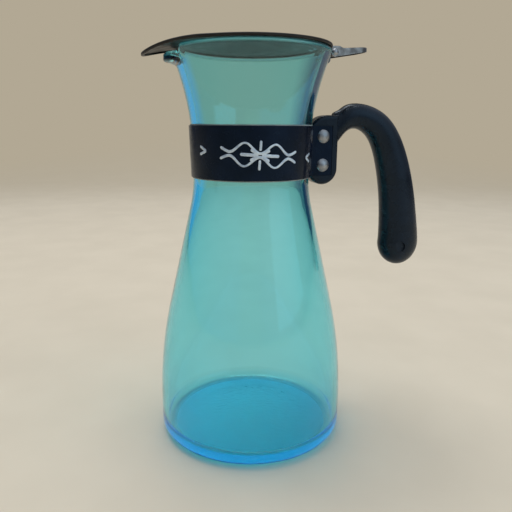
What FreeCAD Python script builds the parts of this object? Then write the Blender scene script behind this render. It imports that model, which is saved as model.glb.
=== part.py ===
"""Waisted see-through water pitcher with a hinged metal lid and a riveted handle.

Millimetres, +Z up. The origin is the middle of the foot on the standing plane.
The spout points to -X, the handle to +X, and the lid hinges on a pin along Y.
"""
import FreeCAD, Part
import math
import os

V = FreeCAD.Vector
UP = V(0, 0, 1)
ACROSS = V(0, 1, 0)

# Vessel: outside sizes of the waisted wall, from the foot to the rim
BELLY_RADIUS = 47.7
BELLY_Z = 18.0
WAIST_RADIUS = 28.6
WAIST_LOW_Z = 134.0
WAIST_HIGH_Z = 144.0
WAIST_ROUND = 66.0
TAPER_LENGTH = 51.6
RIM_RADIUS = 38.0
RIM_Z = 193.5
WALL = 2.8
FLOOR = 5.0
BASE_CORNER = 6.5
FLOOR_CORNER = 5.0
FOOT_WIDTH = 7.0
FOOT_RECESS = 0.8

# Spout: a short beak on the rim with an open channel
SPOUT_OUT = 3.5
SPOUT_NOSE = 9.0
SPOUT_SPREAD = math.radians(15)
SPOUT_WALL = 2.4
SPOUT_DEPTH = 8.3
SPOUT_CORNER = 2.2
SPOUT_LIP_DROP = 3.2

# Neck band: a sheet strap on a soft liner, with two ears that hold the handle
BAND_LOW_Z = 133.8
BAND_HIGH_Z = 158.1
BAND_SHEET = 0.5
BAND_BEND = 1.6
LINER = 0.5
LINER_FIT = 0.1
LINER_EDGE = 0.5
EAR_LENGTH = 11.2
EAR_CORNER = 1.5

# Handle: a moulded root between the ears and a grip that hangs from it
ROOT_HALF = 5.0
ROOT_DEPTH = 14.2
ROOT_ABOVE = 5.3
ROOT_BELOW = 4.7
ROOT_EDGE = 1.8
ROOT_TOP_CORNER = 10.0
POCKET_FIT = 0.25
BAND_FIT = 0.2

# Grip stations: reach past the root's outer face, rise above the band's middle, heading
# below the level in degrees, half width in the pitcher's plane, half thickness across it
GRIP_STATIONS = (
    (-1.6, 9.2, 0, 9.4, 4.6),
    (3.6, 14.6, 0, 7.1, 5.4),
    (10.6, 17.2, 5, 6.3, 6.1),
    (22.6, 12.2, 41, 7.3, 6.9),
    (31.6, -3.5, 66, 8.6, 7.6),
    (37.0, -26.0, 80, 9.8, 8.2),
    (39.2, -49.5, 88, 11.3, 8.6),
)
GRIP_END = 12.6
GRIP_SECTIONS = 13
GRIP_MARK_BACK = 2.8
GRIP_MARK_DROP = 1.5
GRIP_MARK_RADIUS = 3.0
GRIP_MARK_DEPTH = 0.9

# Handle rivets
RIVET_SHANK = 2.0
RIVET_HEAD = 3.25
RIVET_CROWN = 1.3
RIVET_INSET = 4.7
RIVET_SPACING = 14.2
RIVET_FIT = 0.05

# Lid: stamped sheet with a hemmed edge, a shallow dome and a drooping nose
LID_GAP = 0.2
LID_SHEET = 0.7
LID_HEM = 1.4
LID_HEM_WIDTH = 1.5
LID_HEM_ROUND = 0.5
LID_OVERHANG = 0.2
LID_NOSE = 23.0
LID_NOSE_OUT = 10.0
LID_BEND_INSET = 11.0
LID_BEND = 60.0
LID_DROOP = math.radians(25)
DOME_INSET = 12.4
DOME_RISE = 3.0
DOME_BLEND = 20.0

# Hinge: a spring clip over the rim, a pin, and a lever leaf on the lid
PIN_OUT = 2.4
PIN_DROP = 0.6
PIN_RADIUS = 1.0
PIN_HEAD = 1.65
PIN_CROWN = 0.8
PIN_FIT = 0.05
CLIP_SHEET = 0.6
CLIP_FIT = 0.06
CLIP_HALF = 4.5
CLIP_INNER_LEG = 1.6
CLIP_OUTER_LEG = 2.7
CLIP_HOOK = 1.2
CLIP_HOOK_TURN = math.radians(70)
CLIP_EAR = 1.9
LEVER_SHEET = 0.7
LEVER_HALF = 5.6
LEVER_PAD = 10.6
LEVER_PAD_CORNER = 2.0
LEVER_REACH = 18.4
LEVER_EAR = 2.1
LEVER_BEND = 1.5
LEVER_DIP = math.radians(35)
LEVER_SWEEP = 3.0
LEVER_LIFT = math.radians(4)
LEVER_KEEL = math.radians(9.5)
LEVER_ROUND = 0.45
LEVER_SIDE_FIT = 0.4
LEVER_RIVET_SHANK = 0.9
LEVER_RIVET_HEAD = 1.5
LEVER_RIVET_CROWN = 0.6
LEVER_RIVET_INSET = 6.4
LEVER_RIVET_SIDE = 3.0

# Worked out: the tangent arcs and the straight of the wall
BELLY_TO_WAIST = BELLY_RADIUS - WAIST_RADIUS
BELLY_RISE = WAIST_LOW_Z - BELLY_Z
ARC_SUM = (BELLY_TO_WAIST ** 2 + BELLY_RISE ** 2 - TAPER_LENGTH ** 2) / (2 * BELLY_TO_WAIST)
BELLY_ROUND = ARC_SUM - WAIST_ROUND
TAPER = math.atan2(BELLY_RISE, ARC_SUM - BELLY_TO_WAIST) - math.atan2(TAPER_LENGTH, ARC_SUM)
RIM_CENTRE = (RIM_RADIUS - WALL / 2, RIM_Z - WALL / 2)
FLARE_RUN = RIM_CENTRE[0] - (WAIST_RADIUS - WALL / 2)
FLARE_RISE = RIM_CENTRE[1] - WAIST_HIGH_Z
FLARE_MID = (FLARE_RUN ** 2 + FLARE_RISE ** 2) / (2 * FLARE_RUN)
FLARE_ROUND = FLARE_MID - WALL / 2
FLARE = math.asin(FLARE_RISE / FLARE_MID)
BELLY_CENTRE = (BELLY_RADIUS - BELLY_ROUND, BELLY_Z)
WAIST_CENTRE = (WAIST_RADIUS + WAIST_ROUND, WAIST_LOW_Z)
FLARE_CENTRE = (WAIST_RADIUS + FLARE_ROUND, WAIST_HIGH_Z)

# Worked out: where the other pieces sit on the wall
SPOUT_REACH = RIM_RADIUS + SPOUT_OUT
SPOUT_UNDER_Z = RIM_Z - SPOUT_DEPTH
BAND_MIDDLE_Z = (BAND_LOW_Z + BAND_HIGH_Z) / 2
LID_RADIUS = RIM_RADIUS + LID_OVERHANG
LID_TIP = SPOUT_REACH + LID_NOSE_OUT
LID_TOP_Z = RIM_Z + LID_GAP + LID_HEM
LID_BEND_X = -(RIM_RADIUS - LID_BEND_INSET)
DOME_RADIUS = LID_RADIUS - DOME_INSET
PIN_X = RIM_RADIUS + PIN_OUT
PIN_Z = RIM_Z - PIN_DROP

# Well past any surface that a cut has to go through, and near enough to count as level
CLEAR = 30.0
NEAR = 0.02


def point(x, z):
    """A point in the pitcher's own plane, where the spout and the handle lie."""
    return V(x, 0, z)


def polar(centre, radius, angle):
    return point(centre[0] + radius * math.cos(angle), centre[1] + radius * math.sin(angle))


def line(start, end):
    return Part.LineSegment(start, end).toShape()


def arc(centre, radius, start, end):
    """A round stretch in the pitcher's plane about a centre, between two angles."""
    middle = (start + end) / 2
    ends = [polar(centre, radius, angle) for angle in (start, middle, end)]
    return Part.Arc(*ends).toShape()


def face(edges):
    return Part.Face(Part.Wire(edges))


def closed(points):
    return Part.Face(Part.makePolygon(list(points) + [points[0]]))


def turned(section, degrees=360):
    return section.revolve(V(0, 0, 0), UP, degrees)


def across(section, half):
    """A section of the pitcher's plane given a width on both sides of it."""
    solid = section.extrude(ACROSS * (2 * half))
    solid.translate(ACROSS * -half)
    return solid


def cylinder_across(x, z, radius, half):
    return Part.makeCylinder(radius, 2 * half, V(x, -half, z), ACROSS)


# Vessel

def wall_edges(inset, foot_z):
    """The wall's line at a depth under its outside, from the foot's corner to the rim."""
    side = BELLY_RADIUS - inset
    neck = WAIST_RADIUS - inset
    belly = BELLY_ROUND - inset
    waist = WAIST_ROUND + inset
    return [
        line(point(side, foot_z), point(side, BELLY_Z)),
        arc(BELLY_CENTRE, belly, 0, TAPER),
        line(polar(BELLY_CENTRE, belly, TAPER), polar(WAIST_CENTRE, waist, math.pi + TAPER)),
        arc(WAIST_CENTRE, waist, math.pi + TAPER, math.pi),
        line(point(neck, WAIST_LOW_Z), point(neck, WAIST_HIGH_Z)),
        arc(FLARE_CENTRE, FLARE_ROUND + inset, math.pi, math.pi - FLARE),
    ]


def form_inside(inset, foot_z):
    """The solid form bounded by the wall's line, closed above the rim."""
    edges = wall_edges(inset, foot_z)
    top = edges[-1].Vertexes[-1].Point
    foot = edges[0].Vertexes[0].Point
    above = RIM_Z + CLEAR
    edges += [
        line(top, point(top.x, above)),
        line(point(top.x, above), point(0, above)),
        line(point(0, above), point(0, foot_z)),
        line(point(0, foot_z), foot),
    ]
    return turned(face(edges))


def outer_radius(z):
    """Outside radius of the wall at a height of the neck."""
    if z > WAIST_HIGH_Z:
        return FLARE_CENTRE[0] - math.sqrt(FLARE_ROUND ** 2 - (z - WAIST_HIGH_Z) ** 2)
    below = min(0, z - WAIST_LOW_Z)
    return WAIST_CENTRE[0] - math.sqrt(WAIST_ROUND ** 2 - below ** 2)


def vessel():
    foot_out = BELLY_RADIUS - BASE_CORNER
    foot_in = foot_out - FOOT_WIDTH
    floor_edge = BELLY_RADIUS - WALL - FLOOR_CORNER
    section = [
        line(point(0, FLOOR), point(0, FOOT_RECESS)),
        line(point(0, FOOT_RECESS), point(foot_in - FOOT_RECESS, FOOT_RECESS)),
        line(point(foot_in - FOOT_RECESS, FOOT_RECESS), point(foot_in, 0)),
        line(point(foot_in, 0), point(foot_out, 0)),
        arc((foot_out, BASE_CORNER), BASE_CORNER, -math.pi / 2, 0),
    ]
    section += wall_edges(0, BASE_CORNER)
    section += [arc(RIM_CENTRE, WALL / 2, -FLARE, math.pi - FLARE)]
    section += wall_edges(WALL, FLOOR + FLOOR_CORNER)[::-1]
    section += [
        arc((floor_edge, FLOOR + FLOOR_CORNER), FLOOR_CORNER, 0, -math.pi / 2),
        line(point(floor_edge, FLOOR), point(0, FLOOR)),
    ]
    return turned(face(section))


def spout_prism(inset, back, low, high):
    """The beak's plan: a round nose with spreading sides, between two heights."""
    nose = SPOUT_NOSE - inset
    middle = -(SPOUT_REACH - SPOUT_NOSE)
    touch = V(middle - nose * math.sin(SPOUT_SPREAD), nose * math.cos(SPOUT_SPREAD), low)
    root = V(back, touch.y + (back - touch.x) * math.tan(SPOUT_SPREAD), low)
    touch_far = V(touch.x, -touch.y, low)
    root_far = V(root.x, -root.y, low)
    outline = [
        Part.Arc(touch, V(middle - nose, 0, low), touch_far).toShape(),
        line(touch_far, root_far),
        line(root_far, root),
        line(root, touch),
    ]
    return face(outline).extrude(UP * (high - low))


def carafe_body():
    """The wall with its beak: the beak is added outside and its channel cut through."""
    inner = WALL + SPOUT_WALL
    beak = spout_prism(0, -(RIM_RADIUS - inner - SPOUT_NOSE), SPOUT_UNDER_Z, RIM_Z)
    under = [edge for edge in beak.Edges if edge.BoundBox.ZMax < SPOUT_UNDER_Z + NEAR
             and edge.BoundBox.XMin < -RIM_RADIUS + inner]
    beak = beak.makeFillet(SPOUT_CORNER, under)
    lip_back = -(RIM_RADIUS - WALL)
    lip_slope = SPOUT_LIP_DROP / (SPOUT_REACH + lip_back)
    tip = -SPOUT_REACH - SPOUT_NOSE
    lip_cut = closed([
        point(lip_back, RIM_Z),
        point(tip, RIM_Z - lip_slope * (lip_back - tip)),
        point(tip, RIM_Z + CLEAR),
        point(lip_back, RIM_Z + CLEAR),
    ])
    beak = beak.cut(across(lip_cut, CLEAR))
    beak = beak.cut(form_inside(WALL / 2, FLOOR))
    channel = spout_prism(SPOUT_WALL, -SPOUT_NOSE, SPOUT_UNDER_Z + SPOUT_WALL, RIM_Z + CLEAR)
    return vessel().fuse(beak).cut(channel).removeSplitter()


# Neck band

def band_inner(z):
    """Inside radius of the strap, which follows the neck's slope between its edges."""
    low = outer_radius(BAND_LOW_Z) + LINER
    high = outer_radius(BAND_HIGH_Z) + LINER
    return low + (high - low) * (z - BAND_LOW_Z) / (BAND_HIGH_Z - BAND_LOW_Z)


def ear_inner():
    return ROOT_HALF - BAND_SHEET


def ear_end():
    return band_inner(BAND_MIDDLE_Z) + EAR_LENGTH


def strap_outline(z):
    """The strap seen from above: round the neck, then bent out into two flat ears."""
    inside = band_inner(z)
    outside = inside + BAND_SHEET
    ear_out = ear_inner() + BAND_SHEET
    bend_y = ear_out + BAND_BEND
    bend_x = math.sqrt((outside + BAND_BEND) ** 2 - bend_y ** 2)
    leave = math.atan2(bend_y, bend_x)
    turn = (leave + math.pi + 3 * math.pi / 2) / 2

    def bend(radius, side):
        spots = [leave + math.pi, turn, 3 * math.pi / 2]
        return [V(bend_x + radius * math.cos(a), side * (bend_y + radius * math.sin(a)), z) for a in spots]

    def hoop(radius):
        ends = [V(radius * math.cos(leave), s * radius * math.sin(leave), z) for s in (1, -1)]
        return Part.Arc(ends[0], V(-radius, 0, z), ends[1]).toShape()

    def ear(side):
        inner = bend(BAND_BEND + BAND_SHEET, side)
        outer = bend(BAND_BEND, side)
        tips = [V(ear_end(), side * y, z) for y in (ear_inner(), ear_out)]
        return [
            Part.Arc(*inner).toShape(),
            line(inner[2], tips[0]),
            line(tips[0], tips[1]),
            line(tips[1], outer[2]),
            Part.Arc(*outer[::-1]).toShape(),
        ]

    return Part.Wire(ear(1) + [hoop(outside)] + ear(-1)[::-1] + [hoop(inside)])


def neck_band():
    strap = Part.makeLoft([strap_outline(BAND_LOW_Z), strap_outline(BAND_HIGH_Z)], True, True)
    corners = [edge for edge in strap.Edges if edge.BoundBox.XMin > ear_end() - NEAR
               and edge.BoundBox.ZLength < NEAR]
    strap = strap.makeFillet(EAR_CORNER, corners)
    for x, z in rivet_places():
        strap = strap.cut(cylinder_across(x, z, RIVET_SHANK + RIVET_FIT, CLEAR))
    return strap


def band_liner():
    """A thin soft strip between the strap and the neck, open behind the handle."""
    low = BAND_LOW_Z - LINER_EDGE
    high = BAND_HIGH_Z + LINER_EDGE
    core = WAIST_RADIUS - WALL
    ring = turned(closed([
        point(core, low),
        point(band_inner(low) - LINER_FIT, low),
        point(band_inner(high) - LINER_FIT, high),
        point(core, high),
    ]))
    ring = ring.cut(form_inside(-LINER_FIT, FLOOR))
    gap = ear_inner() + BAND_SHEET + 2 * BAND_BEND
    return ring.cut(Part.makeBox(RIM_RADIUS, 2 * gap, high, V(0, -gap, low - LINER_EDGE)))


# Handle

def rivet_places():
    x = ear_end() - RIVET_INSET
    return [(x, BAND_MIDDLE_Z + side * RIVET_SPACING / 2) for side in (1, -1)]


def root_face_x():
    """The outer face of the handle's root, which the grip's stations start from."""
    return band_inner(BAND_MIDDLE_Z) + BAND_SHEET + ROOT_DEPTH


def handle_root():
    """The block between the ears, with a round foot and a humped top."""
    back = outer_radius(BAND_LOW_Z)
    front = root_face_x()
    top = BAND_HIGH_Z + ROOT_ABOVE
    foot_round = (front - back) / 2
    foot_z = BAND_LOW_Z - ROOT_BELOW + foot_round
    middle = (front + back) / 2
    outline = [
        arc((middle, foot_z), foot_round, math.pi, 2 * math.pi),
        line(point(front, foot_z), point(front, top)),
        line(point(front, top), point(back + ROOT_TOP_CORNER, top)),
        arc((back + ROOT_TOP_CORNER, top - ROOT_TOP_CORNER), ROOT_TOP_CORNER, math.pi / 2, math.pi),
        line(point(back, top - ROOT_TOP_CORNER), point(back, foot_z)),
    ]
    block = across(face(outline), ROOT_HALF)
    rims = [edge for edge in block.Edges if edge.BoundBox.YLength < NEAR]
    return block.makeFillet(ROOT_EDGE, rims)


def grip_station(share):
    """The grip's station values a share of the way along, on smooth curves through them."""
    steps = list(range(len(GRIP_STATIONS)))
    values = []
    for column in zip(*GRIP_STATIONS):
        curve = Part.BSplineCurve()
        spots = [V(step, value, 0) for step, value in zip(steps, column)]
        curve.interpolate(Points=spots, Parameters=[float(step) for step in steps])
        values.append(curve.value(share * steps[-1]).y)
    return values


def grip_frame(share):
    """The grip's middle there, the way it heads, and the way across its width."""
    reach, rise, heading = grip_station(share)[:3]
    centre = point(root_face_x() + reach, BAND_MIDDLE_Z + rise)
    along = point(math.cos(math.radians(heading)), -math.sin(math.radians(heading)))
    return centre, along, along.cross(ACROSS)


def grip_section(share):
    """An oval across the grip at a share of its length."""
    centre, _, aside = grip_frame(share)
    wide, thick = grip_station(share)[3:]
    oval = Part.Ellipse(centre + aside * wide, centre + ACROSS * thick, centre)
    return Part.Wire([oval.toShape()])


def grip_end():
    """A half egg that closes the grip's lower end."""
    centre, along, aside = grip_frame(1)
    wide, thick = grip_station(1)[3:]
    half = Part.makeSphere(1, V(0, 0, 0), UP, 0, 90, 360)
    stretch = FreeCAD.Matrix()
    stretch.scale(wide, thick, GRIP_END)
    half = half.transformGeometry(stretch)
    half.Placement = FreeCAD.Placement(centre, FreeCAD.Rotation(aside, ACROSS, along, "ZXY"))
    return half


def grip_mark():
    """The round mould recess low on the grip's near face."""
    centre = grip_frame(1)[0]
    depth = grip_station(1)[4] - GRIP_MARK_DEPTH
    place = centre + V(-GRIP_MARK_BACK, -depth, -GRIP_MARK_DROP)
    return Part.makeCylinder(GRIP_MARK_RADIUS, CLEAR, place, -ACROSS)


def handle_grip():
    sections = [grip_section(i / (GRIP_SECTIONS - 1)) for i in range(GRIP_SECTIONS)]
    grip = Part.makeLoft(sections, True, False).fuse(grip_end()).fuse(handle_root())
    neck = turned(closed([
        point(0, BAND_LOW_Z - CLEAR),
        point(band_inner(BAND_LOW_Z - CLEAR) + BAND_SHEET + BAND_FIT, BAND_LOW_Z - CLEAR),
        point(band_inner(BAND_HIGH_Z + CLEAR) + BAND_SHEET + BAND_FIT, BAND_HIGH_Z + CLEAR),
        point(0, BAND_HIGH_Z + CLEAR),
    ]))
    grip = grip.cut(neck).cut(grip_mark())
    end = ear_end() + POCKET_FIT
    low = BAND_LOW_Z - POCKET_FIT
    height = BAND_HIGH_Z + POCKET_FIT - low
    for side in (1, -1):
        start = ear_inner() if side > 0 else -ear_inner() - CLEAR
        grip = grip.cut(Part.makeBox(end, CLEAR, height, V(0, start, low)))
    for x, z in rivet_places():
        grip = grip.cut(cylinder_across(x, z, RIVET_SHANK + RIVET_FIT, CLEAR))
    return grip.removeSplitter()


# Rivets and the pin

def headed_pin(centre, direction, length, shank, head, crown):
    """A shank with a low round head formed on each end."""
    half = length / 2
    cap = (head ** 2 + crown ** 2) / (2 * crown)
    lean = math.asin(head / cap) / 2
    rise = cap - crown
    shoulder = [V(cap * math.sin(lean), 0, half + cap * math.cos(lean) - rise), V(head, 0, half)]

    def low(spot):
        return V(spot.x, 0, -spot.z)

    tip = V(0, 0, half + crown)
    profile = [
        Part.Arc(tip, shoulder[0], shoulder[1]).toShape(),
        line(shoulder[1], V(shank, 0, half)),
        line(V(shank, 0, half), V(shank, 0, -half)),
        line(V(shank, 0, -half), low(shoulder[1])),
        Part.Arc(low(shoulder[1]), low(shoulder[0]), low(tip)).toShape(),
        line(low(tip), tip),
    ]
    solid = turned(face(profile))
    solid.Placement = FreeCAD.Placement(centre, FreeCAD.Rotation(UP, direction))
    return solid


def handle_rivet(x, z):
    return headed_pin(V(x, 0, z), ACROSS, 2 * ROOT_HALF, RIVET_SHANK, RIVET_HEAD, RIVET_CROWN)


def hinge_pin():
    return headed_pin(V(PIN_X, 0, PIN_Z), ACROSS, 2 * LEVER_HALF, PIN_RADIUS, PIN_HEAD, PIN_CROWN)


def lever_rivet_places():
    x = LID_RADIUS - LEVER_RIVET_INSET
    return [(x, side * LEVER_RIVET_SIDE) for side in (1, -1)]


def lever_rivet(x, y):
    middle = LID_TOP_Z + (LEVER_SHEET - LID_SHEET) / 2
    length = LEVER_SHEET + LID_SHEET
    return headed_pin(V(x, y, middle), UP, length, LEVER_RIVET_SHANK, LEVER_RIVET_HEAD, LEVER_RIVET_CROWN)


def rivet_holes(solid):
    for x, y in lever_rivet_places():
        hole = Part.makeCylinder(LEVER_RIVET_SHANK + RIVET_FIT, 2 * CLEAR, V(x, y, LID_TOP_Z - CLEAR))
        solid = solid.cut(hole)
    return solid


# Lid

def lid_prism(inset):
    """The lid's egg-shaped plan: a round over the mouth run into a smaller round nose."""
    mouth = LID_RADIUS - inset
    nose = LID_NOSE - inset
    middle = -(LID_TIP - LID_NOSE)
    lean = math.acos((LID_RADIUS - LID_NOSE) / middle)
    low = LID_TOP_Z - CLEAR

    def spot(centre, radius, angle):
        return V(centre + radius * math.cos(angle), radius * math.sin(angle), low)

    outline = [
        Part.Arc(spot(0, mouth, -lean), spot(0, mouth, 0), spot(0, mouth, lean)).toShape(),
        line(spot(0, mouth, lean), spot(middle, nose, lean)),
        Part.Arc(spot(middle, nose, lean), spot(middle, nose, math.pi), spot(middle, nose, -lean)).toShape(),
        line(spot(middle, nose, -lean), spot(0, mouth, -lean)),
    ]
    return face(outline).extrude(UP * (2 * CLEAR))


def lid_line(depth):
    """The lid's side view at a depth under its top: flat, bent down, then straight."""
    centre = (LID_BEND_X, LID_TOP_Z - LID_BEND)
    start = math.pi / 2
    bent = polar(centre, LID_BEND - depth, start + LID_DROOP)
    end = point(bent.x - LID_TIP * math.cos(LID_DROOP), bent.z - LID_TIP * math.sin(LID_DROOP))
    back = point(LID_TIP, LID_TOP_Z - depth)
    return [
        line(back, point(LID_BEND_X, LID_TOP_Z - depth)),
        arc(centre, LID_BEND - depth, start, start + LID_DROOP),
        line(bent, end),
    ]


def lid_slab(top, bottom):
    """A bent sheet between two depths under the lid's top."""
    upper = lid_line(top)
    lower = lid_line(bottom)
    end = line(upper[-1].Vertexes[-1].Point, lower[-1].Vertexes[-1].Point)
    back = line(lower[0].Vertexes[0].Point, upper[0].Vertexes[0].Point)
    return across(face(upper + [end] + lower[::-1] + [back]), LID_TIP)


def lid_dome():
    """The pressed dome: a hollow foot arc that runs into a crown arc."""
    reach = (DOME_RADIUS ** 2 + DOME_RISE ** 2) / (2 * DOME_RISE)
    crown = reach - DOME_BLEND
    crown_centre = (0, LID_TOP_Z + DOME_RISE - crown)
    blend_centre = (DOME_RADIUS, LID_TOP_Z + DOME_BLEND)
    lean = math.atan2(blend_centre[1] - crown_centre[1], DOME_RADIUS)

    def skin(depth):
        return [
            arc(blend_centre, DOME_BLEND + depth, 3 * math.pi / 2, lean + math.pi),
            arc(crown_centre, crown - depth, lean, math.pi / 2),
        ]

    upper = skin(0)
    lower = skin(LID_SHEET)
    middle = line(point(0, LID_TOP_Z + DOME_RISE), point(0, LID_TOP_Z + DOME_RISE - LID_SHEET))
    edge = line(point(DOME_RADIUS, LID_TOP_Z - LID_SHEET), point(DOME_RADIUS, LID_TOP_Z))
    return turned(face(upper + [middle] + lower[::-1] + [edge]))


def lid_cover():
    pan = lid_slab(0, LID_HEM).common(lid_prism(0))
    rims = [edge for edge in pan.Edges if edge.BoundBox.DiagonalLength > 2 * LID_HEM
            and edge.BoundBox.XLength > NEAR]
    pan = pan.makeFillet(LID_HEM_ROUND, rims)
    pan = pan.cut(lid_slab(LID_SHEET, LID_HEM + LID_BEND / 2).common(lid_prism(LID_HEM_WIDTH)))
    opening = Part.makeCylinder(DOME_RADIUS, 2 * CLEAR, V(0, 0, LID_TOP_Z - CLEAR))
    pan = pan.cut(opening).fuse(lid_dome())
    notch = CLIP_HALF + LEVER_SIDE_FIT
    under = V(0, -notch, LID_TOP_Z - LID_SHEET - CLEAR)
    pan = pan.cut(Part.makeBox(LID_TIP, 2 * notch, CLEAR, under))
    return rivet_holes(pan).removeSplitter()


# Lever

def lever_plan(inset):
    """The leaf seen from above: a square pad on the lid and a round thumb end."""
    half = LEVER_HALF - inset
    end_x = PIN_X + LEVER_REACH - LEVER_HALF
    pad_x = LID_RADIUS - LEVER_PAD
    low = LID_TOP_Z - CLEAR
    corners = [V(pad_x, side * half, low) for side in (1, -1)]
    ends = [V(end_x, side * half, low) for side in (1, -1)]
    outline = [
        line(corners[0], ends[0]),
        Part.Arc(ends[0], V(end_x + half, 0, low), ends[1]).toShape(),
        line(ends[1], corners[1]),
        line(corners[1], corners[0]),
    ]
    return face(outline).extrude(UP * (2 * CLEAR))


def lever_top(depth):
    """The leaf's line at a depth under its top: flat over the pin, a dip, then up to the thumb end."""
    level = LID_TOP_Z + LEVER_SHEET
    over = math.pi / 2
    bend = (PIN_X + LEVER_EAR, level - LEVER_BEND)
    turn = polar(bend, LEVER_BEND + LEVER_SWEEP, over - LEVER_DIP)
    sweep = (turn.x, turn.z)
    lift = polar(sweep, LEVER_SWEEP + depth, LEVER_LIFT - over)
    end_x = PIN_X + LEVER_REACH
    return [
        line(point(LID_RADIUS - LEVER_PAD, level - depth), point(bend[0], level - depth)),
        arc(bend, LEVER_BEND - depth, over, over - LEVER_DIP),
        arc(sweep, LEVER_SWEEP + depth, -over - LEVER_DIP, LEVER_LIFT - over),
        line(lift, point(end_x, lift.z + (end_x - lift.x) * math.tan(LEVER_LIFT))),
    ]


def lever_side():
    """The leaf's side view: the pad, the ear round the pin and the deep folded edge."""
    top = lever_top(0)
    level = LID_TOP_Z + LEVER_SHEET
    pad_x = LID_RADIUS - LEVER_PAD
    ear_x = LID_RADIUS + LEVER_SIDE_FIT
    ear_start = math.pi + math.acos((PIN_X - ear_x) / LEVER_EAR)
    ear_leave = 3 * math.pi / 2 + LEVER_KEEL
    keel = polar((PIN_X, PIN_Z), LEVER_EAR, ear_leave)
    tip = top[-1].Vertexes[-1].Point
    tip_under = point(tip.x, keel.z + (tip.x - keel.x) * math.tan(LEVER_KEEL))
    return face(top + [
        line(tip, tip_under),
        line(tip_under, keel),
        arc((PIN_X, PIN_Z), LEVER_EAR, ear_leave, ear_start),
        line(polar((PIN_X, PIN_Z), LEVER_EAR, ear_start), point(ear_x, LID_TOP_Z)),
        line(point(ear_x, LID_TOP_Z), point(pad_x, LID_TOP_Z)),
        line(point(pad_x, LID_TOP_Z), point(pad_x, level)),
    ])


def thumb_lever():
    leaf = across(lever_side(), CLEAR).common(lever_plan(0))
    level = LID_TOP_Z + LEVER_SHEET
    corners = [edge for edge in leaf.Edges if edge.BoundBox.XMax < LID_RADIUS - LEVER_PAD + NEAR
               and edge.BoundBox.YLength < NEAR]
    leaf = leaf.makeFillet(LEVER_PAD_CORNER, corners)
    dip = (LEVER_BEND + LEVER_SWEEP) * (1 - math.cos(LEVER_DIP))
    rims = [edge for edge in leaf.Edges if edge.BoundBox.ZMin > level - dip - NEAR
            and edge.BoundBox.XMax > PIN_X and edge.BoundBox.XLength > NEAR]
    leaf = leaf.makeFillet(LEVER_ROUND, rims)
    under = lever_top(LEVER_SHEET)
    start = under[0].Vertexes[0].Point
    end = under[-1].Vertexes[-1].Point
    hollow = across(face(under + [
        line(end, end - UP * CLEAR),
        line(end - UP * CLEAR, start - UP * CLEAR),
        line(start - UP * CLEAR, start),
    ]), CLEAR)
    leaf = leaf.cut(hollow.common(lever_plan(LEVER_SHEET)))
    leaf = leaf.cut(cylinder_across(PIN_X, PIN_Z, PIN_RADIUS + PIN_FIT, CLEAR))
    return rivet_holes(leaf)


# Rim clip

def clip_section():
    """The clip's side view: down the inside wall, over the rim, hooked under its flare."""
    def strip(depth):
        bridge = WALL / 2 + depth
        leg_x = RIM_CENTRE[0] + bridge
        hook_z = RIM_CENTRE[1] - CLIP_OUTER_LEG
        hook_centre = (RIM_CENTRE[0] + WALL / 2 + CLIP_FIT - CLIP_HOOK, hook_z)
        hook = CLIP_HOOK + depth - CLIP_FIT
        inner = FLARE_ROUND + WALL + depth
        leg_turn = CLIP_INNER_LEG / inner
        return [
            arc(FLARE_CENTRE, inner, math.pi - FLARE + leg_turn, math.pi - FLARE),
            arc(RIM_CENTRE, bridge, math.pi - FLARE, 0),
            line(point(leg_x, RIM_CENTRE[1]), point(leg_x, hook_z)),
            arc(hook_centre, hook, 0, -CLIP_HOOK_TURN),
        ]

    near = strip(CLIP_FIT)
    far = strip(CLIP_FIT + CLIP_SHEET)
    tail = line(near[-1].Vertexes[-1].Point, far[-1].Vertexes[-1].Point)
    head = line(far[0].Vertexes[0].Point, near[0].Vertexes[0].Point)
    return face(near + [tail] + far[::-1] + [head])


def rim_clip():
    half_turn = math.degrees(math.asin(CLIP_HALF / (RIM_RADIUS + CLIP_FIT + CLIP_SHEET)))
    saddle = turned(clip_section(), 2 * half_turn)
    saddle.rotate(V(0, 0, 0), UP, -half_turn)
    leg_x = RIM_RADIUS + CLIP_FIT
    web = closed([
        point(leg_x, PIN_Z - CLIP_EAR),
        point(PIN_X, PIN_Z - CLIP_EAR),
        point(PIN_X, PIN_Z + CLIP_EAR),
        point(leg_x, RIM_CENTRE[1] + CLIP_SHEET),
    ])
    ear = across(web, CLIP_HALF).fuse(cylinder_across(PIN_X, PIN_Z, CLIP_EAR, CLIP_HALF))
    ear = ear.cut(Part.makeBox(CLEAR, 2 * (CLIP_HALF - CLIP_SHEET), CLEAR,
                               V(leg_x, CLIP_SHEET - CLIP_HALF, PIN_Z - CLEAR / 2)))
    ear = ear.cut(cylinder_across(PIN_X, PIN_Z, PIN_RADIUS + PIN_FIT, CLEAR))
    return saddle.fuse(ear).removeSplitter()


def pieces():
    upper, lower = rivet_places()
    left, right = lever_rivet_places()
    return {
        "carafe_body": carafe_body(),
        "neck_band": neck_band(),
        "band_liner": band_liner(),
        "handle_grip": handle_grip(),
        "handle_rivet_upper": handle_rivet(*upper),
        "handle_rivet_lower": handle_rivet(*lower),
        "rim_clip": rim_clip(),
        "hinge_pin": hinge_pin(),
        "lid_cover": lid_cover(),
        "thumb_lever": thumb_lever(),
        "lever_rivet_left": lever_rivet(*left),
        "lever_rivet_right": lever_rivet(*right),
    }


os.makedirs("parts", exist_ok=True)
for name, shape in pieces().items():
    shape.exportStep("parts/" + name + ".step")
    print(name, len(shape.Solids), "solids", round(shape.Volume, 1), "mm3", shape.isValid())
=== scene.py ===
"""Finishes, ornament, light and camera for the waisted see-through water pitcher.

Metres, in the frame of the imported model: +Z up, the beak at -X, the handle at +X.
"""

import math

import bpy
from mathutils import Matrix, Vector

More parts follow.
